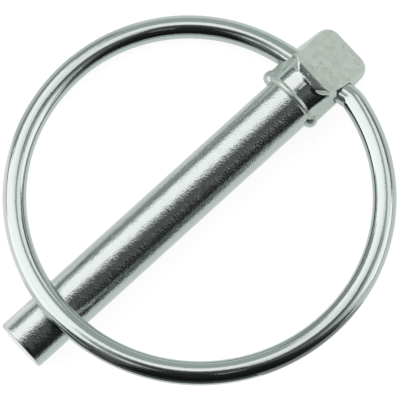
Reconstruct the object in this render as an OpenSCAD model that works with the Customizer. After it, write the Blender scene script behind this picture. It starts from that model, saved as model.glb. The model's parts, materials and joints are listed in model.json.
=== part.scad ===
// Lynch pin, 6 mm: a forged pin with a spring-wire ring that swings about a slanted cross bore in the head.
// Frame: millimetres. X runs along the shank toward the tail, with the origin on the shank axis at the
// underside of the head. Z is up, and the pin lies on its back with the left side of the ring on the floor.

/* [Shank] */
// diameter of the round shank
shank_d = 6; // [4:0.1:12]
// length from the underside of the head to the tail end
usable_length = 38.8; // [32:0.1:60]
// chamfer on the rim of the tail end
tail_chamfer = 0.3; // [0.1:0.05:0.8]

/* [Collar] */
// how far the collar ridge stands proud of the shank
collar_rise = 0.4; // [0.3:0.05:0.8]
// width of the ridge along the shank
collar_width = 0.45; // [0.4:0.05:0.9]
// distance from the underside of the head to the crest of the ridge
collar_at = 0.85; // [0.7:0.05:1.4]
// length of the flare that runs from the ridge down to the shank
flare_length = 0.4; // [0.3:0.05:1.2]
// width over the two side lugs
lug_span = 7.8; // [7.3:0.1:9]
// length of each side lug along the shank
lug_length = 1.7; // [1.2:0.1:2.2]
// diameter of each side lug
lug_d = 2.5; // [2:0.1:3.4]
// rounding of both ends of each lug
lug_round = 0.8; // [0.1:0.05:1]

/* [Head] */
// width of the head across its two bored sides
head_width = 7.3; // [6.6:0.1:9]
// how far the head, ridge and lugs are set to the left of the shank's middle
head_set = 0.2; // [0:0.05:0.4]
// how far the front of the neck stands proud of the shank
neck_rise = 0.25; // [0.1:0.05:0.6]
// height of the neck's shoulders, above the shank axis
shoulder_z = 0.3; // [0.05:0.05:0.8]
// how far the back of the head and collar is set in from the back of the shank
back_set = 0.15; // [0.05:0.05:0.5]
// distance from the underside of the head to the lip of the slanted face
lip_at = 3.9; // [3.4:0.1:5]
// how far the lip overhangs the front of the neck
lip_rise = 0.5; // [0.2:0.05:0.9]
// slope of the lip's front, down from the shank's direction
lip_slope = 31; // [20:1:45]
// angle between the flat end face and the shank axis
face_angle = 41; // [36:1:50]
// height of the blunt top of the head, above its back
top_height = 1.5; // [1:0.1:2.2]
// width of the flat face at its lip
face_lip_width = 5.8; // [5:0.1:6.4]
// width of the flat face at its top
face_top_width = 6.5; // [6:0.1:6.8]
// width of the head at its blunt top
top_width = 6.9; // [6.8:0.1:7.3]
// corner radius of the blunt top
top_round = 1.6; // [0.8:0.1:2.4]
// turn of the head about the shank, away from square with the ring
head_turn = 8; // [0:1:12]

/* [Cross bore] */
// distance from the underside of the head to the bore, on the shank axis
bore_at = 4.72; // [4.3:0.02:5.4]
// slant of the bore, its right end toward the top of the head
bore_slant = 12.8; // [0:0.2:14]
// radial clearance between the ring's ends and the bore
bore_clearance = 0.05; // [0.02:0.01:0.1]

/* [Ring] */
// outside diameter of the ring
ring_outer_d = 42.3; // [38:0.1:52]
// diameter of the spring wire
wire_d = 2.6; // [2:0.1:3]
// depth of each wire end in the bore
tip_depth = 2.7; // [2:0.1:3]
// radius of the bend at the right end of the ring
bend_r = 2.4; // [2:0.1:4]
// share of the span over the head that follows the full circle
circle_share = 0.8; // [0.6:0.01:0.9]
// straight length of wire left clear outside each side of the head
tip_clear = 0.1; // [0.05:0.05:0.9]
// gap left between the closed ring and the shank
rest_gap = 0.02; // [0.01:0.01:0.05]

/* [Hidden] */
$fn = 96;
wire_fn = 48;

shank_r = shank_d / 2;
wire_r = wire_d / 2;
lug_r = lug_d / 2;
half_w = head_width / 2;
front = shank_r + neck_rise;
back = shank_r - back_set;

// head: how far the neck runs on below the lip and the shank into the neck, the thickness of the slabs
// that shape the face, and how round each outline is (2 is an ellipse, and more is squarer)
neck_under_lip = 0.3;
neck_length = lip_at + neck_under_lip - collar_at;
root_depth = 0.3;
slab = 0.12;
face_margin = 0.15;
top_inset = 0.3;
crown_power = 2;
top_power = 4;
corner_power = 5;
lip_power = 12;
lip_z = front + lip_rise;
top_z = top_height - back;
face_l = (lip_z - top_z) / sin(face_angle);
top_x = -lip_at - face_l * cos(face_angle);

// lip: a rounder outline lies at lip_depth below the face, so that the front of the lip slopes to the neck
lip_root = 1.2;
lip_depth = lip_root + lip_rise;
lip_reach = lip_depth / tan(face_angle + lip_slope);
under_lip_inset = 0.35;
under_lip_power = 2.2;

// collar: the share of its rise at which the flare starts
flare_share = 0.7;
flare_sink = 0.01;

// the two joining arcs of the ring are thinner by a hair, and run a little way into the piece at each end
lap = 0.15;
hair = 0.02;

// ring curve, in its own plane: u along the bore to the right, v away from the bore
ring_r = ring_outer_d / 2 - wire_r;
right_side = (half_w - head_set) / cos(bore_slant);
left_side = (half_w + head_set) / cos(bore_slant);
clear_of_side = wire_r * tan(bore_slant) + tip_clear;
right_reach = right_side + clear_of_side;
left_reach = left_side + clear_of_side;
chord = (right_reach + left_reach) * circle_share;
centre_u = right_reach - chord;
centre_v = bend_r + sqrt(pow(ring_r - bend_r, 2) - chord * chord);
drop = ring_r - centre_v;
left_turn = 2 * atan(drop / (centre_u + left_reach));
left_r = ring_r - (centre_u + left_reach) / sin(left_turn);
right_turn = atan2(chord, centre_v - bend_r);

// root of a rising function between two angles, by halving
max_tilt = 30;
halvings = 40;
solve = function(f, lo, hi, n)
    let (mid = (lo + hi) / 2)
    n == 0 ? mid : f(mid) > 0 ? solve(f, lo, mid, n - 1) : solve(f, mid, hi, n - 1);

// closed angle: the wire crosses the shank just clear of it.
// cross_v is where the wire's centre line passes over the shank, and wire_dir its direction there.
slant_slope = function(a) tan(bore_slant) * cos(a);
cross_v = function(a)
    let (k = slant_slope(a), h = centre_v - k * centre_u)
    let (off = centre_u * centre_u + centre_v * centre_v - ring_r * ring_r)
    (h + sqrt(h * h - (1 + k * k) * off)) / (1 + k * k);
wire_dir = function(a)
    let (v = cross_v(a), u = -v * slant_slope(a))
    let (du = (v - centre_v) / ring_r, dv = (centre_u - u) / ring_r)
    [du * cos(bore_slant) + dv * sin(bore_slant) * cos(a), dv * sin(a)];
axis_gap = function(a)
    let (w = wire_dir(a))
    cross_v(a) * sin(a) * abs(w[0]) / norm(w);
closed_angle = solve(function(a) axis_gap(a) - (shank_r + wire_r + rest_gap), 1, max_tilt, halvings);

// resting roll: the left side of the closed ring comes down to the level of the shank's underside
ring_low = function(roll)
    let (du = cos(bore_slant) * sin(roll))
    let (dv = sin(bore_slant) * cos(closed_angle) * sin(roll) + sin(closed_angle) * cos(roll))
    let (on_left = atan2(du, dv) < left_turn)
    let (c = on_left ? [-left_reach, left_r] : [centre_u, centre_v])
    let (r = on_left ? left_r : ring_r)
    let (wire = on_left ? wire_r - hair : wire_r)
    c[0] * du + c[1] * dv - r * norm([du, dv]) - wire;
rest_roll = solve(function(roll) -shank_r - ring_low(roll), 0, max_tilt, halvings);

// closed rounded outline of half-width half: it reaches up and down from its middle, with a corner power
// for each, and widens upward by the share flare
outline_sides = 64;
function signed_pow(v, p) = sign(v) * pow(abs(v), p);
function outline(half, up, down, up_power, down_power, flare) = [
    for (i = [0:outline_sides - 1])
        let (a = 360 * (i + 0.5) / outline_sides)
        let (power = sin(a) > 0 ? up_power : down_power)
        let (y = (sin(a) > 0 ? up : down) * signed_pow(sin(a), 2 / power))
        [half * signed_pow(cos(a), 2 / power) * (1 + flare * y / up), y]
];

module along_x() {
    rotate([90, 0, 90]) children();
}

module shank() {
    root = collar_at + root_depth;
    translate([-root, 0, 0]) along_x() cylinder(r = shank_r, h = root + usable_length - tail_chamfer);
    translate([usable_length - tail_chamfer, 0, 0]) along_x()
        cylinder(r1 = shank_r, r2 = shank_r - tail_chamfer, h = tail_chamfer);
}

// local frame on the flat face: origin at the lip, x to the right, y up the face, z out of it
module on_face() {
    translate([-lip_at, 0, lip_z]) multmatrix([
        [0, -cos(face_angle), -sin(face_angle), 0],
        [1, 0, 0, 0],
        [0, -sin(face_angle), cos(face_angle), 0],
        [0, 0, 0, 1]
    ]) children();
}

// outline of the flat face, with the stretch next to the lip left out
module face_outline(left_out) {
    half_l = (face_l - left_out) / 2;
    half_mean = (face_lip_width + face_top_width) / 4;
    flare = (face_top_width - face_lip_width) / (4 * half_mean);
    translate([0, left_out + half_l])
        polygon(outline(half_mean, half_l, half_l, top_power, lip_power, flare));
}

// section of the neck: a round crown between two shoulders, from x = from toward the top
module neck_section(from, length) {
    translate([from - length, 0, 0]) along_x() linear_extrude(length) hull() {
        polygon(outline(front, front, back, crown_power, corner_power, 0));
        polygon(outline(half_w, shoulder_z, back, corner_power, corner_power, 0));
    }
}

module face_slab() {
    on_face() translate([0, 0, -slab]) linear_extrude(slab)
        face_outline(lip_rise / sin(face_angle) + face_margin);
}

module blunt_top() {
    for (side = [-1, 1])
        translate([top_x + top_round, side * (top_width / 2 - top_round), -back])
            cylinder(r1 = top_round - top_inset, r2 = top_round, h = top_height);
}

module lip() {
    half_l = (face_l + lip_reach) / 2;
    half_under = face_lip_width / 2 - under_lip_inset;
    on_face() hull() {
        translate([0, 0, -slab]) linear_extrude(slab) face_outline(0);
        translate([0, half_l - lip_reach, -lip_depth]) linear_extrude(slab)
            polygon(outline(half_under, half_l, half_l, top_power, under_lip_power, 0));
    }
}

module head() {
    neck_section(-collar_at, neck_length);
    hull() {
        neck_section(-collar_at - neck_length, slab);
        face_slab();
        blunt_top();
    }
    lip();
}

// bead and flare round the shank, cut flush with the back of the head
module ridge() {
    room = 4 * shank_d;
    bead_r = collar_width / 2;
    intersection() {
        translate([-collar_at, 0, 0]) along_x() {
            rotate_extrude() translate([shank_r + collar_rise - bead_r, 0]) circle(r = bead_r, $fn = wire_fn);
            cylinder(r1 = shank_r + flare_share * collar_rise, r2 = shank_r - flare_sink, h = flare_length);
        }
        translate([-room / 2, -room / 2, -back]) cube(room);
    }
}

module lug(side) {
    radius = min(lug_round, lug_length / 2 - hair);
    translate([-lug_length, side * (lug_span / 2 - lug_r), 0]) along_x() rotate_extrude() intersection() {
        square([lug_r, lug_length]);
        union() {
            square([lug_r - radius, lug_length]);
            translate([0, radius]) square([lug_r, lug_length - 2 * radius]);
            for (at = [radius, lug_length - radius])
                translate([lug_r - radius, at]) circle(r = radius, $fn = wire_fn);
        }
    }
}

// local frame on the bore: x along it to the right, y away from the head, z to the back
module on_bore() {
    translate([-bore_at, 0, 0]) multmatrix([
        [-sin(bore_slant), cos(bore_slant), 0, 0],
        [cos(bore_slant), sin(bore_slant), 0, 0],
        [0, 0, -1, 0],
        [0, 0, 0, 1]
    ]) children();
}

module cross_bore() {
    on_bore() rotate([0, 90, 0]) cylinder(r = wire_r + bore_clearance, h = 3 * head_width, center = true);
}

module pin() {
    color([0.67, 0.72, 0.7]) rotate([rest_roll, 0, 0]) difference() {
        union() {
            shank();
            rotate([-head_turn, 0, 0]) translate([0, -head_set, 0]) {
                head();
                ridge();
                lug(-1);
                lug(1);
            }
        }
        cross_bore();
    }
}

// wire bent to radius r about the point c; a thinner arc runs on by the lap at both ends
module arc(c, r, from, turn, thin = 0) {
    over = thin > 0 ? lap / r * 180 / PI : 0;
    translate([c[0], c[1], 0]) rotate([0, 0, from - over]) rotate_extrude(angle = turn + 2 * over)
        translate([r, 0]) circle(r = wire_r - thin, $fn = wire_fn);
}

module tip(from, to) {
    translate([from, 0, 0]) rotate([0, 90, 0]) cylinder(r = wire_r, h = to - from, $fn = wire_fn);
}

module ring() {
    color([0.68, 0.73, 0.71]) rotate([rest_roll, 0, 0]) on_bore() rotate([-closed_angle, 0, 0]) {
        arc([centre_u, centre_v], ring_r, right_turn - 90, 360 - left_turn - right_turn);
        arc([-left_reach, left_r], left_r, 270 - left_turn, left_turn, hair);
        arc([right_reach, bend_r], bend_r, -90, right_turn, hair);
        tip(-left_reach, tip_depth - left_side);
        tip(right_side - tip_depth, right_reach);
    }
}

pin();
ring();
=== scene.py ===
import json
import math

import bmesh
import bpy
import numpy as np
from mathutils import Matrix, Vector


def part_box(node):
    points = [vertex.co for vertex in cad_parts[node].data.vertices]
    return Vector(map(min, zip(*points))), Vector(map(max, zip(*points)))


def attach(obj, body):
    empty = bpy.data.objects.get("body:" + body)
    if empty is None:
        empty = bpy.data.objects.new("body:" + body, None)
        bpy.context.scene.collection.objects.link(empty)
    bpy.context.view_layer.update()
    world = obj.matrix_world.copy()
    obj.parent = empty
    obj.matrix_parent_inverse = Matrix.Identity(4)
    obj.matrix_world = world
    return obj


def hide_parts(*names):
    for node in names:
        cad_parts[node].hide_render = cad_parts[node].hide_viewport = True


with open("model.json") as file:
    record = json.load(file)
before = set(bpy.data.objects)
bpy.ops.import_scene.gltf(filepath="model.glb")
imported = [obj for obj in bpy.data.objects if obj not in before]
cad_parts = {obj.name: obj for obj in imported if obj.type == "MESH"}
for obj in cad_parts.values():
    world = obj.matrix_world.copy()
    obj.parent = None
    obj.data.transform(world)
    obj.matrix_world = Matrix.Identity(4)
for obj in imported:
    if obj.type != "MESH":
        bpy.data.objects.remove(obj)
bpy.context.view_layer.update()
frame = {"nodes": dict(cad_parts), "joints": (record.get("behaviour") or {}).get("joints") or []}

MM = 0.001

# ---------------------------------------------------------------- sizes, in mm, as in the part's source
SHANK_R = 3.0
TAIL_CHAMFER = 0.3
ROOT_DEPTH = 0.3
BORE_R = 1.35
BORE_AT = 4.72
COLLAR_AT = 0.85
COLLAR_RISE = 0.4
COLLAR_WIDTH = 0.45
FLARE_LENGTH = 0.4
LUG_R = 1.25
LUG_SPAN = 7.8
LUG_LENGTH = 1.7
LUG_ROUND = 0.8
HEAD_HALF = 3.65
HEAD_SET = 0.2
HEAD_TURN = math.radians(8)
FRONT = 3.25
SHOULDER_Z = 0.3
BACK = 2.85
NECK_UNDER_LIP = 0.3
LIP_AT = 3.9
LIP_Z = 3.75
LIP_SLOPE = math.radians(31)
LIP_DEPTH = 1.7
UNDER_LIP_INSET = 0.35
FACE_ANGLE = math.radians(41)
FACE_LIP_HALF = 2.9
FACE_TOP_HALF = 3.25
FACE_MARGIN = 0.15
TOP_HEIGHT = 1.5
TOP_HALF = 3.45
TOP_ROUND = 1.6
TOP_INSET = 0.3
FACE_L = (LIP_Z - (TOP_HEIGHT - BACK)) / math.sin(FACE_ANGLE)
TOP_X = -LIP_AT - FACE_L * math.cos(FACE_ANGLE)

# how round each outline is: 2 is an ellipse, and more is squarer
CROWN_POWER = 2
UNDER_LIP_POWER = 2.2
TOP_POWER = 4
CORNER_POWER = 5
LIP_POWER = 12

# places that the frame gives
TAIL_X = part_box("pin")[1].x / MM
FLOOR_Z = min(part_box("pin")[0].z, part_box("ring")[0].z)
hinge = next(j for j in frame["joints"] if j["name"] == "ring_swing")
HINGE_AXIS = Vector(hinge["axis"]).normalized()
HINGE_SIDE = 1 if HINGE_AXIS.y > 0 else -1
REST_ROLL = math.atan2(HINGE_SIDE * HINGE_AXIS.z, HINGE_SIDE * HINGE_AXIS.y)


# ---------------------------------------------------------------- camera
VIEW_BACK = Vector((0.1132, 0.0669, 0.9913))
VIEW_RIGHT = Vector((-0.7358, 0.6761, 0.0384))
VIEW_AT = Vector((0.06869, 0.03375, 0.48040))
LENS = 405


def make_camera():
    data = bpy.data.cameras.new("camera")
    data.lens = LENS
    data.sensor_width = 36
    data.clip_start, data.clip_end = 0.01, 20
    cam = bpy.data.objects.new("camera", data)
    bpy.context.collection.objects.link(cam)
    back = VIEW_BACK.normalized()
    right = (VIEW_RIGHT - VIEW_RIGHT.dot(back) * back).normalized()
    up = back.cross(right)
    turn = Matrix((right, up, back)).transposed().to_4x4()
    cam.matrix_world = Matrix.Translation(VIEW_AT) @ turn
    bpy.context.scene.camera = cam
    return right, up, back


RIGHT, UP, BACKWARD = make_camera()


# ---------------------------------------------------------------- shader nodes
def add_node(tree, kind, settings=None, inputs=None):
    """One shader node, with its settings and the values or sources of its inputs."""
    node = tree.nodes.new(kind)
    for key, value in (settings or {}).items():
        setattr(node, key, value)
    for key, value in (inputs or {}).items():
        if isinstance(value, bpy.types.NodeSocket):
            tree.links.new(value, node.inputs[key])
        else:
            node.inputs[key].default_value = value
    return node


def two_value_math(tree, operation, a, b):
    return add_node(tree, "ShaderNodeMath", {"operation": operation}, {0: a, 1: b}).outputs[0]


def times(tree, a, b):
    return two_value_math(tree, "MULTIPLY", a, b)


def plus(tree, a, b):
    return two_value_math(tree, "ADD", a, b)


def larger(tree, a, b):
    return two_value_math(tree, "MAXIMUM", a, b)


def painted_value(tree, name):
    """A value that is painted on the vertices."""
    return add_node(tree, "ShaderNodeAttribute", {"attribute_name": name}).outputs["Fac"]


def noise(tree, place, scale, detail):
    inputs = {"Vector": place, "Scale": scale, "Detail": detail}
    return add_node(tree, "ShaderNodeTexNoise", inputs=inputs).outputs["Fac"]


def between(tree, value, span, to=(0.0, 1.0)):
    """Takes the values of span smoothly to those of to."""
    inputs = {"Value": value, "From Min": span[0], "From Max": span[1], "To Min": to[0], "To Max": to[1]}
    node = add_node(tree, "ShaderNodeMapRange", {"interpolation_type": "SMOOTHSTEP"}, inputs)
    return node.outputs["Result"]


def blend(tree, share, first, second):
    """A colour that goes from first to second."""
    node = add_node(tree, "ShaderNodeMix", {"data_type": "RGBA"}, {"Factor": share})
    for key, value in (("A", first), ("B", second)):
        socket = [i for i in node.inputs if i.name == key and i.type == "RGBA"][0]
        if isinstance(value, bpy.types.NodeSocket):
            tree.links.new(value, socket)
        else:
            socket.default_value = (*value, 1)
    return [o for o in node.outputs if o.type == "RGBA"][0]


def bump(tree, height, depth, normal=None, strength=1.0):
    inputs = {"Strength": strength, "Distance": depth, "Height": height}
    if normal is not None:
        inputs["Normal"] = normal
    return add_node(tree, "ShaderNodeBump", inputs=inputs).outputs["Normal"]


def new_material(name):
    """A material with its node tree and its shader."""
    mat = bpy.data.materials.new(name)
    mat.use_nodes = True
    return mat, mat.node_tree, mat.node_tree.nodes["Principled BSDF"]


def flat_material(name, level):
    """A dull grey of one level, without gloss."""
    mat, tree, bsdf = new_material(name)
    bsdf.inputs["Base Color"].default_value = (level, level, level, 1)
    bsdf.inputs["Roughness"].default_value = 0.9
    bsdf.inputs["Specular IOR Level"].default_value = 0
    return mat, tree, bsdf


# ---------------------------------------------------------------- studio
WHITE = (1, 1, 1, 1)
WORLD_COLOUR = (0.97, 1.0, 0.985, 1)
WORLD_LEVEL = 0.68
FLOOR_HALF = 6.0
FLOOR_ALBEDO = 0.22
FLOOR_LIFT = 0.85

# a panel that ends above this level is a softbox: it is tinted, and dull surfaces see it too
SOFTBOX_FROM = 1
SOFTBOX_TINT = (1.06, 0.98, 1.01, 1)

# how far the panels are from the origin, in metres, and how far a panel on the floor lies above it
PANEL_AWAY = 2.5
PANEL_BEHIND = 2.55
PANEL_BEFORE = 2.4
PANEL_LIFT = 0.0003
PANEL_STEPS = 24


def studio_direction(across, above):
    """The way out to a point seen mirrored, in degrees to the right of and above the camera's own axis."""
    away = math.radians(math.hypot(across, above))
    side = (RIGHT * across + UP * above).normalized() if away > 0 else RIGHT
    return BACKWARD * math.cos(away) + side * math.sin(away)


def panel(name, light, turns, tilts, away=PANEL_AWAY):
    """A curved studio panel, lit or dark.

    turns runs anticlockwise from the right, and tilts out from the camera, both in degrees. light is the
    level at the first tilt and at the last.
    """
    points = []
    for i in range(PANEL_STEPS + 1):
        turn = math.radians(turns[0] + (turns[1] - turns[0]) * i / PANEL_STEPS)
        for j in range(PANEL_STEPS + 1):
            tilt = tilts[0] + (tilts[1] - tilts[0]) * j / PANEL_STEPS
            points.append(studio_direction(tilt * math.cos(turn), tilt * math.sin(turn)) * away)
    light_grid(name, light, points)


def floor_panel(name, light, turns, near, far):
    """A studio panel that lies on the floor round the object, from near to far in metres."""
    low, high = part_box("ring")
    centre = (Vector(low) + Vector(high)) / 2
    points = []
    for i in range(PANEL_STEPS + 1):
        turn = math.radians(turns[0] + (turns[1] - turns[0]) * i / PANEL_STEPS)
        way = RIGHT * math.cos(turn) + UP * math.sin(turn)
        way.z = 0
        way.normalize()
        for j in range(PANEL_STEPS + 1):
            point = centre + way * (near * (far / near) ** (j / PANEL_STEPS))
            point.z = FLOOR_Z + PANEL_LIFT
            points.append(point)
    light_grid(name, light, points)


def light_grid(name, light, points):
    """A grid of points as a panel that the camera doesn't see, its light going from one level to another."""
    row = PANEL_STEPS + 1
    faces = []
    for i in range(PANEL_STEPS):
        for j in range(PANEL_STEPS):
            k = i * row + j
            faces.append((k, k + 1, k + row + 1, k + row))
    mesh = bpy.data.meshes.new(name)
    mesh.from_pydata(points, [], faces)
    near, far = light
    level = mesh.attributes.new("level", "FLOAT", "POINT")
    for k in range(len(points)):
        level.data[k].value = near + (far - near) * (k % row) / PANEL_STEPS
    obj = bpy.data.objects.new(name, mesh)
    bpy.context.collection.objects.link(obj)
    softbox = far > SOFTBOX_FROM
    mat, tree, bsdf = flat_material(name, 0)
    bsdf.inputs["Emission Color"].default_value = SOFTBOX_TINT if softbox else WHITE
    tree.links.new(painted_value(tree, "level"), bsdf.inputs["Emission Strength"])
    mesh.materials.append(mat)
    obj.visible_camera = False
    obj.visible_shadow = False
    obj.visible_diffuse = softbox


def floor_material():
    """White floor that still takes the object's shadow. Seen or mirrored, it is lifted to white."""
    mat, tree, bsdf = flat_material("floor_white", FLOOR_ALBEDO)
    path = add_node(tree, "ShaderNodeLightPath").outputs
    seen = larger(tree, path["Is Camera Ray"], path["Is Glossy Ray"])
    seen = larger(tree, seen, path["Is Transmission Ray"])
    bsdf.inputs["Emission Color"].default_value = WHITE
    tree.links.new(times(tree, seen, FLOOR_LIFT), bsdf.inputs["Emission Strength"])
    return mat


def make_floor():
    mesh = bpy.data.meshes.new("floor")
    corners = [(x * FLOOR_HALF, y * FLOOR_HALF, 0) for x, y in ((-1, -1), (1, -1), (1, 1), (-1, 1))]
    mesh.from_pydata(corners, [], [(0, 1, 2, 3)])
    floor = bpy.data.objects.new("floor", mesh)
    floor.location.z = FLOOR_Z
    bpy.context.collection.objects.link(floor)
    floor.data.materials.append(floor_material())


def make_world():
    world = bpy.data.worlds.new("studio")
    bpy.context.scene.world = world
    world.use_nodes = True
    background = world.node_tree.nodes["Background"]
    background.inputs["Color"].default_value = WORLD_COLOUR
    background.inputs["Strength"].default_value = WORLD_LEVEL


make_floor()
make_world()
panel("softbox_left", (1.9, 2.0), (142, 166), (25, 82))
panel("softbox_left_top", (1.9, 1.95), (124, 142), (24, 70))
panel("softbox_far_left", (1.75, 2.2), (166, 203), (28, 93))
panel("softbox_low_left", (1.4, 1.1), (201, 207), (29, 62))
panel("card_lip", (0.4, 0.05), (207, 224), (30, 75))
panel("glow_lip", (1.1, 1.1), (204, 222), (20, 29), PANEL_BEFORE)
panel("softbox_upper_left", (1.85, 1.85), (112, 124), (23, 72))
panel("softbox_upper", (1.85, 1.75), (101, 112), (25, 61))
panel("softbox_above", (1.9, 1.4), (87, 101), (24, 49))
panel("softbox_above_right", (1.7, 1.4), (68, 87), (24, 39))
panel("softbox_top_right", (1.2, 1.4), (48, 68), (14, 31))
panel("softbox_corner", (1.5, 1.6), (36, 66), (46, 69))
panel("softbox_right", (1.5, 2.1), (-8, 24), (46, 84))
panel("softbox_right_top", (1.4, 1.7), (24, 36), (50, 77))
panel("softbox_right_end", (0.5, 1.2), (-20, -8), (36, 84))
panel("ramp_above", (0.12, 1.3), (68, 112), (15, 25))
panel("ramp_left", (0.12, 1.4), (112, 166), (15, 26))
panel("card_low_left", (0.2, 0.75), (166, 224), (10, 29))
panel("card_below_deep", (0.02, 0.012), (243, 310), (36, 98))
panel("card_below", (0.035, 0.025), (236, 328), (12, 98), PANEL_BEHIND)
panel("card_below_left", (0.18, 0.1), (224, 236), (12, 98))
panel("card_below_right", (0.12, 0.12), (328, 340), (12, 84))
panel("glow_below", (0.4, 0.4), (286, 318), (11, 18), PANEL_BEFORE)
panel("card_centre_low", (0.04, 0.045), (166, 310), (0, 12))
panel("card_centre", (0.1, 0.13), (-50, 166), (0, 15), PANEL_BEHIND)
panel("card_right", (0.15, 0.25), (-20, 48), (13, 36))
panel("card_right_top", (0.45, 0.45), (48, 66), (31, 39))
panel("card_corner", (0.22, 0.22), (20, 52), (72, 84))
panel("card_horizon", (0.26, 0.4), (106, 150), (84, 99))
floor_panel("card_front", (0.14, 0.02), (216, 290), 0.035, 5.0)
floor_panel("card_front_right", (0.5, 0.02), (290, 330), 0.0285, 0.5)
floor_panel("card_front_far", (0.02, 0.02), (290, 330), 0.5, 5.0)
floor_panel("card_back", (0.95, 0.4), (108, 158), 0.0225, 0.8)
floor_panel("bounce_left", (1.4, 1.2), (160, 204), 0.0225, 0.3)


# ---------------------------------------------------------------- materials
ZINC = (0.41, 0.475, 0.445)
STAINED_ZINC = (0.42, 0.45, 0.425)
DULL_ZINC = (0.56, 0.63, 0.57)
DULL_SHADE = (0.50, 0.57, 0.505)
PIT_COLOUR = (0.12, 0.13, 0.125)

# noise: its scale per metre, and the span of its values over which the effect comes in
CLOUD_SCALE = 900
CLOUD_DULLS = (0.2, 0.7)
CLOUD_ROUGHENS = (0.35, 0.7)
STAIN_SCALE = 900
STAIN_SPAN = (0.5, 0.64)
PIT_SCALE = 2600
PIT_SPAN = (0.6, 0.78)
FLOCK_SCALE = 500
FLOCK_SPAN = (0.45, 0.6)
MOTTLE_SCALE = 1100
MOTTLE_SPAN = (0.4, 0.62)

# how strong each effect is. Depths are in metres.
CLOUD_DEPTH = 0.00003
CLOUD_ROUGHNESS = 0.05
LEAST_DULL = 0.7
STAIN_SHARE = 0.3
PIT_DEPTH = 0.00001
PIT_SHARE = 0.5
PIT_ON_BRIGHT = 0.25
DULL_SPAN = (0.6, 1.0)
FORGED_ROUGHNESS = 0.36
GRAIN_WHERE_SMOOTH = 0.1


def zinc(name, polish, grain, depth, wear):
    """Bright zinc plate, with fine grain, soft dents and dark pits.

    It is dull where "forged" is painted, and has less of the fine grain where "smooth" is.
    """
    mat, tree, bsdf = new_material(name)
    bsdf.inputs["Metallic"].default_value = 1
    place = add_node(tree, "ShaderNodeTexCoord").outputs["Object"]
    forged = painted_value(tree, "forged")
    smooth = painted_value(tree, "smooth")
    cloudy = noise(tree, place, CLOUD_SCALE, 3.0)

    stain = times(tree, between(tree, noise(tree, place, STAIN_SCALE, 4.0), STAIN_SPAN), STAIN_SHARE * wear)
    colour = blend(tree, stain, ZINC, STAINED_ZINC)
    mottle = between(tree, noise(tree, place, MOTTLE_SCALE, 5.0), MOTTLE_SPAN)
    cloud = between(tree, cloudy, CLOUD_DULLS, (LEAST_DULL, 1.0))
    dull = times(tree, cloud, between(tree, forged, DULL_SPAN))
    colour = blend(tree, dull, colour, blend(tree, mottle, DULL_ZINC, DULL_SHADE))
    flocks = between(tree, noise(tree, place, FLOCK_SCALE, 1.0), FLOCK_SPAN)
    pits = times(tree, between(tree, noise(tree, place, PIT_SCALE, 1.0), PIT_SPAN), flocks)
    pit_share = times(tree, pits, times(tree, plus(tree, forged, PIT_ON_BRIGHT), PIT_SHARE * wear))
    colour = blend(tree, pit_share, colour, PIT_COLOUR)
    tree.links.new(colour, bsdf.inputs["Base Color"])

    rough = plus(tree, polish, times(tree, between(tree, cloudy, CLOUD_ROUGHENS), CLOUD_ROUGHNESS * wear))
    rough = plus(tree, rough, times(tree, forged, FORGED_ROUGHNESS))
    tree.links.new(rough, bsdf.inputs["Roughness"])

    grain_left = between(tree, smooth, (0.0, 1.0), (1.0, GRAIN_WHERE_SMOOTH))
    normal = bump(tree, cloudy, CLOUD_DEPTH * wear)
    normal = bump(tree, noise(tree, place, grain, 3.0), depth, normal, grain_left)
    normal = bump(tree, pits, -PIT_DEPTH * wear, normal)
    tree.links.new(normal, bsdf.inputs["Normal"])
    return mat


pin_zinc = zinc("pin_zinc", 0.05, 5200.0, 0.00003, 1.0)
wire_zinc = zinc("wire_zinc", 0.05, 3500.0, 0.000004, 0.2)


# ---------------------------------------------------------------- meshes, in mm
OUTLINE_POINTS = 400
CIRCLE_POINTS = 96
RIDGE_POINTS = 192
BEAD_STEPS = 28
LUG_STEPS = 16
VOXEL = 0.07
SHARP_FROM = math.radians(50)


def signed_pow(v, p):
    return np.sign(v) * np.abs(v) ** p


def rounded_outline(half, up, down, up_power, down_power, flare=0.0):
    """Closed outline (across, along) whose corners are as round as its powers say."""
    a = 2 * np.pi * (np.arange(OUTLINE_POINTS) + 0.5) / OUTLINE_POINTS
    power = np.where(np.sin(a) > 0, up_power, down_power)
    y = np.where(np.sin(a) > 0, up, down) * signed_pow(np.sin(a), 2 / power)
    x = half * signed_pow(np.cos(a), 2 / power) * (1 + flare * y / up)
    return x, y


def circle(radius, count=CIRCLE_POINTS):
    a = 2 * np.pi * np.arange(count) / count
    return radius * np.cos(a), radius * np.sin(a)


def section(x, outline):
    """The points of an outline that stands square to the shank, at x."""
    y, z = outline
    return np.stack([x + 0 * y, y, z], 1)


def on_face(across, along, out):
    """Points of the flat face's own frame, in the head's frame."""
    c, s = math.cos(FACE_ANGLE), math.sin(FACE_ANGLE)
    return np.stack([-LIP_AT - along * c - out * s, across, LIP_Z - along * s + out * c], 1)


def face_outline(left_out):
    """Outline of the flat face, with the stretch next to the lip left out."""
    half = (FACE_L - left_out) / 2
    mean = (FACE_LIP_HALF + FACE_TOP_HALF) / 2
    flare = (FACE_TOP_HALF - FACE_LIP_HALF) / (2 * mean)
    x, y = rounded_outline(mean, half, half, TOP_POWER, LIP_POWER, flare)
    return x, y + left_out + half


def neck_section(x):
    """Section of the neck: a round crown between two shoulders."""
    crown = rounded_outline(FRONT, FRONT, BACK, CROWN_POWER, CORNER_POWER)
    shoulders = rounded_outline(HEAD_HALF, SHOULDER_Z, BACK, CORNER_POWER, CORNER_POWER)
    return [section(x, crown), section(x, shoulders)]


def neck_body():
    return np.concatenate(neck_section(-COLLAR_AT) + neck_section(-LIP_AT - NECK_UNDER_LIP))


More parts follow.
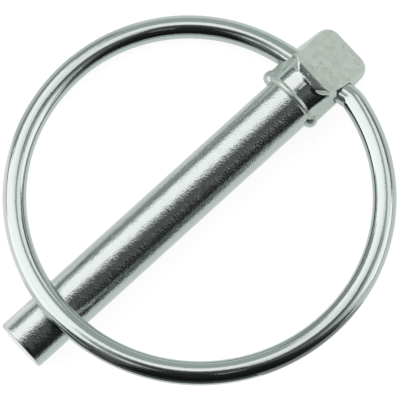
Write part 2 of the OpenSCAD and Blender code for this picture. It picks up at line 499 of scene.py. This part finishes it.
def head_body():
    u, v = face_outline((LIP_Z - FRONT) / math.sin(FACE_ANGLE) + FACE_MARGIN)
    points = neck_section(-LIP_AT - NECK_UNDER_LIP) + [on_face(u, v, 0)]
    for side in (-1, 1):
        for radius, height in ((TOP_ROUND - TOP_INSET, -BACK), (TOP_ROUND, TOP_HEIGHT - BACK)):
            x, y = circle(radius)
            across = side * (TOP_HALF - TOP_ROUND) + y
            points.append(np.stack([TOP_X + TOP_ROUND + x, across, height + 0 * x], 1))
    return np.concatenate(points)


def lip_body():
    reach = LIP_DEPTH / math.tan(FACE_ANGLE + LIP_SLOPE)
    half = (FACE_L + reach) / 2
    u, v = face_outline(0)
    low_u, low_v = rounded_outline(FACE_LIP_HALF - UNDER_LIP_INSET, half, half, TOP_POWER, UNDER_LIP_POWER)
    return np.concatenate([on_face(u, v, 0), on_face(low_u, low_v + half - reach, -LIP_DEPTH)])


def ridge_body():
    bead = COLLAR_WIDTH / 2
    points = []
    for a in np.radians(np.linspace(-90, 180, BEAD_STEPS)):
        radius = SHANK_R + COLLAR_RISE - bead + bead * math.sin(a)
        points.append(section(-COLLAR_AT + bead * math.cos(a), circle(radius, RIDGE_POINTS)))
    points.append(section(FLARE_LENGTH - COLLAR_AT, circle(SHANK_R, RIDGE_POINTS)))
    points = np.concatenate(points)
    points[:, 2] = np.maximum(points[:, 2], -BACK)
    return points


def lug_body(side):
    points = []
    for at, way in ((-LUG_ROUND, 1), (LUG_ROUND - LUG_LENGTH, -1)):
        for a in np.radians(np.linspace(0, 90, LUG_STEPS)):
            y, z = circle(LUG_R - LUG_ROUND + LUG_ROUND * math.cos(a))
            x = at + way * LUG_ROUND * math.sin(a)
            points.append(section(x, (side * (LUG_SPAN / 2 - LUG_R) + y, z)))
    return np.concatenate(points)


def add_hull(bm, points):
    part = bmesh.new()
    for p in points:
        part.verts.new(p)
    done = bmesh.ops.convex_hull(part, input=part.verts)
    bmesh.ops.delete(part, geom=list(set(done["geom_interior"]) | set(done["geom_unused"])), context="VERTS")
    mesh = bpy.data.meshes.new("hull")
    part.to_mesh(mesh)
    part.free()
    bm.from_mesh(mesh)
    bpy.data.meshes.remove(mesh)


def with_modifiers(obj):
    """A new mesh of what the object's modifiers make."""
    bpy.context.view_layer.update()
    return bpy.data.meshes.new_from_object(obj.evaluated_get(bpy.context.evaluated_depsgraph_get()))


def melted(bodies):
    """Convex bodies melted into one skin of small quads."""
    melt = bmesh.new()
    for points in bodies:
        add_hull(melt, points)
    mesh = bpy.data.meshes.new("melt")
    melt.to_mesh(mesh)
    melt.free()
    obj = bpy.data.objects.new("melt", mesh)
    bpy.context.collection.objects.link(obj)
    skin = obj.modifiers.new("skin", "REMESH")
    skin.mode = "VOXEL"
    skin.voxel_size = VOXEL
    done = with_modifiers(obj)
    bpy.data.objects.remove(obj)
    return done


def ease(verts, edges, share, rounds):
    """Moves each vertex toward the middle of its neighbours, by half of its share, a few times."""
    count = np.zeros(len(verts))
    np.add.at(count, edges.ravel(), 1)
    for _ in range(rounds):
        total = np.zeros_like(verts)
        np.add.at(total, edges[:, 0], verts[edges[:, 1]])
        np.add.at(total, edges[:, 1], verts[edges[:, 0]])
        verts = verts + 0.5 * share[:, None] * (total / count[:, None] - verts)
    return verts


def below_face(verts):
    """How deep each point lies below the plane of the flat face."""
    return (verts[:, 0] + LIP_AT) * math.sin(FACE_ANGLE) + (LIP_Z - verts[:, 2]) * math.cos(FACE_ANGLE)


# the roll of the face's edge: how far it reaches up the face and below it, and how deep it is at the lip
FACE_ROLL = 0.8
FACE_ROLL_UNDER = 0.4
FACE_ROLL_DEPTH = 0.06


def roll_face_edge(verts):
    """Lets the flat face fall away a little toward the lip, so that a faint line runs beside the lip."""
    along = (LIP_Z - verts[:, 2]) / math.sin(FACE_ANGLE)
    near = np.clip(1 - along / FACE_ROLL, 0, 1) * np.clip(1 - below_face(verts) / FACE_ROLL_UNDER, 0, 1)
    inward = np.array([math.sin(FACE_ANGLE), 0, -math.cos(FACE_ANGLE)])
    return verts + (FACE_ROLL_DEPTH * near)[:, None] * inward


# the foot of the lip: the stretch of the head that holds it, and where the easing fades out
FOOT_X = (-4.4, -2.6)
FOOT_RISE = 0.375
FOOT_FADE = 0.25
FOOT_BELOW_FACE = 0.25
LIP_END_Y = 1.9
LIP_END_FADE = 0.3
LIP_LOW_Z = 1.2


def lip_foot(verts):
    """1 in the hollow where the lip's front meets the neck and on the lip's two ends, and 0 elsewhere."""
    x, y, z = verts.T
    rise = np.hypot(y, z) - FRONT
    hollow = np.clip((FOOT_RISE - rise) / FOOT_FADE, 0, 1)
    ends = np.clip((np.abs(y) - LIP_END_Y) / LIP_END_FADE, 0, 1)
    there = (x > FOOT_X[0]) & (x < FOOT_X[1]) & (below_face(verts) > FOOT_BELOW_FACE) & (z > LIP_LOW_Z)
    return np.maximum(hollow, ends) * there


# where the painted finish changes, in the head's frame
NECK_X = -COLLAR_AT - 0.3
CROWN_R = FRONT + 0.04
BRIGHT_CROWN_Z = 1.72
SMOOTH_CROWN_Z = 1
BRIGHT_LIP_X = 1 - LIP_AT
SMOOTH_LIP_X = 0.9 - LIP_AT
BRIGHT_LIP_Y = 3
DULL_CORNER_Y = -2.1
FACE_SKIN = 0.1

# how much of each finish is painted
FORGED_SIDES = 0.75
SMOOTH_CROWN = 0.8


def forged_share(verts):
    """0 on the bright crown of the neck and front of the lip, 1 on the flat face, and 0.75 elsewhere."""
    x, y, z = verts.T
    corner = (x < BRIGHT_LIP_X) & (y < DULL_CORNER_Y)
    crown = (x < NECK_X) & (z > BRIGHT_CROWN_Z) & (np.hypot(y, z) < CROWN_R)
    lip = (x < BRIGHT_LIP_X) & (z > LIP_LOW_Z) & (y < BRIGHT_LIP_Y)
    below = np.where((crown | lip) & ~corner, 0.0, FORGED_SIDES)
    return np.where(below_face(verts) > FACE_SKIN, below, 1.0)


def smooth_share(verts):
    """1 on the front of the lip and 0.8 on the crown of the neck, where the fine grain is weaker."""
    x, y, z = verts.T
    lip = (x < SMOOTH_LIP_X) & (np.hypot(y, z) > CROWN_R)
    crown = (x < NECK_X) & (z > SMOOTH_CROWN_Z)
    return np.where(lip, 1.0, np.where(crown, SMOOTH_CROWN, 0.0))


# how many times the edges, the foot of the lip and the two painted finishes are eased
EDGE_ROUNDS = 3
FOOT_ROUNDS = 25
FORGED_ROUNDS = 4
SMOOTH_ROUNDS = 3


def build_head():
    """The forged head, its edges eased and the foot of its lip filleted, with its painted finishes."""
    done = melted((neck_body(), head_body(), lip_body(), ridge_body(), lug_body(-1), lug_body(1)))
    verts = np.array([v.co for v in done.vertices])
    faces = [tuple(p.vertices) for p in done.polygons]
    edges = np.array([tuple(e.vertices) for e in done.edges])
    everywhere = np.ones(len(verts))
    verts = ease(verts, edges, everywhere, EDGE_ROUNDS)
    verts = ease(verts, edges, lip_foot(verts), FOOT_ROUNDS)
    verts = roll_face_edge(verts)
    forged = ease(forged_share(verts)[:, None], edges, everywhere, FORGED_ROUNDS)[:, 0]
    smooth = ease(smooth_share(verts)[:, None], edges, everywhere, SMOOTH_ROUNDS)[:, 0]
    return verts - np.array([0, HEAD_SET, 0]), faces, {"forged": forged, "smooth": smooth}


def add_piece(name, verts_mm, faces, mat, body, roll=0.0):
    turn = np.array(Matrix.Rotation(roll, 3, "X"))
    mesh = bpy.data.meshes.new(name)
    mesh.from_pydata([tuple(v) for v in (np.asarray(verts_mm) @ turn.T) * MM], [], faces)
    mesh.shade_smooth()
    obj = bpy.data.objects.new(name, mesh)
    bpy.context.collection.objects.link(obj)
    mesh.materials.append(mat)
    bm = bmesh.new()
    bm.from_mesh(mesh)
    bmesh.ops.recalc_face_normals(bm, faces=bm.faces)
    bm.to_mesh(mesh)
    bm.free()
    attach(obj, body)
    return obj


DRILL_LENGTH = 30


def bore(obj):
    """Drills the slanted cross bore through the head."""
    radius = BORE_R * MM
    bm = bmesh.new()
    bmesh.ops.create_cone(bm, cap_ends=True, segments=CIRCLE_POINTS, radius1=radius, radius2=radius,
                          depth=DRILL_LENGTH * MM)
    mesh = bpy.data.meshes.new("drill")
    bm.to_mesh(mesh)
    bm.free()
    mesh.shade_smooth()
    drill = bpy.data.objects.new("drill", mesh)
    bpy.context.collection.objects.link(drill)
    turn = HINGE_AXIS.to_track_quat("Z", "Y").to_matrix().to_4x4()
    drill.matrix_world = Matrix.Translation((-BORE_AT * MM, 0, 0)) @ turn
    cut = obj.modifiers.new("bore", "BOOLEAN")
    cut.operation = "DIFFERENCE"
    cut.object = drill
    cut.solver = "MANIFOLD"
    done = with_modifiers(obj)
    obj.modifiers.clear()
    obj.data = done
    done.set_sharp_from_angle(angle=SHARP_FROM)
    bpy.data.objects.remove(drill)


def closed_tube(points, first, last):
    """Vertices and faces of rows of points round a tube, closed to one point at each end."""
    rows, columns = points.shape[:2]
    verts = np.concatenate([points.reshape(-1, 3), [first], [last]])
    faces = []
    for j in range(columns):
        k = (j + 1) % columns
        for i in range(rows - 1):
            faces.append((i * columns + j, i * columns + k, (i + 1) * columns + k, (i + 1) * columns + j))
        faces.append((k, j, rows * columns))
        faces.append(((rows - 1) * columns + j, (rows - 1) * columns + k, rows * columns + 1))
    return verts, faces


# the shank's mesh: points round it, rows along it, and rows in its chamfer and on its end face
SHANK_COLUMNS = 312
SHANK_ROWS = 60
LAST_ROW_BEFORE = 0.12
CHAMFER_STEPS = 6
END_RADII = (2.4, 1.6, 0.8)


def build_shank():
    """The shank from inside the collar to the tail, with the rim of its end rounded."""
    root = -COLLAR_AT - ROOT_DEPTH
    last_row = TAIL_X - TAIL_CHAMFER - LAST_ROW_BEFORE
    profile = [(x, SHANK_R) for x in np.linspace(root, last_row, SHANK_ROWS)]
    for k in range(CHAMFER_STEPS + 1):
        a = math.radians(90 * k / CHAMFER_STEPS)
        x = TAIL_X - TAIL_CHAMFER * (1 - math.sin(a))
        profile.append((x, SHANK_R - TAIL_CHAMFER * (1 - math.cos(a))))
    profile += [(TAIL_X, r) for r in END_RADII]
    points = np.array([section(x, circle(r, SHANK_COLUMNS)) for x, r in profile])
    return closed_tube(points, (root, 0, 0), (TAIL_X, 0, 0))


head_verts, head_faces, painted = build_head()
head = add_piece("head", head_verts, head_faces, pin_zinc, "pin", REST_ROLL - HEAD_TURN)
for key, values in painted.items():
    head.data.attributes.new(key, "FLOAT", "POINT").data.foreach_set("value", values.astype(np.float32))
bore(head)
shank_verts, shank_faces = build_shank()
shank = add_piece("shank", shank_verts, shank_faces, pin_zinc, "pin")
shank.data.set_sharp_from_angle(angle=SHARP_FROM)
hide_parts("pin")
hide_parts("pin")
for slot in frame["nodes"]["ring"].material_slots:
    slot.material = wire_zinc

bpy.context.scene.view_settings.view_transform = "Standard"
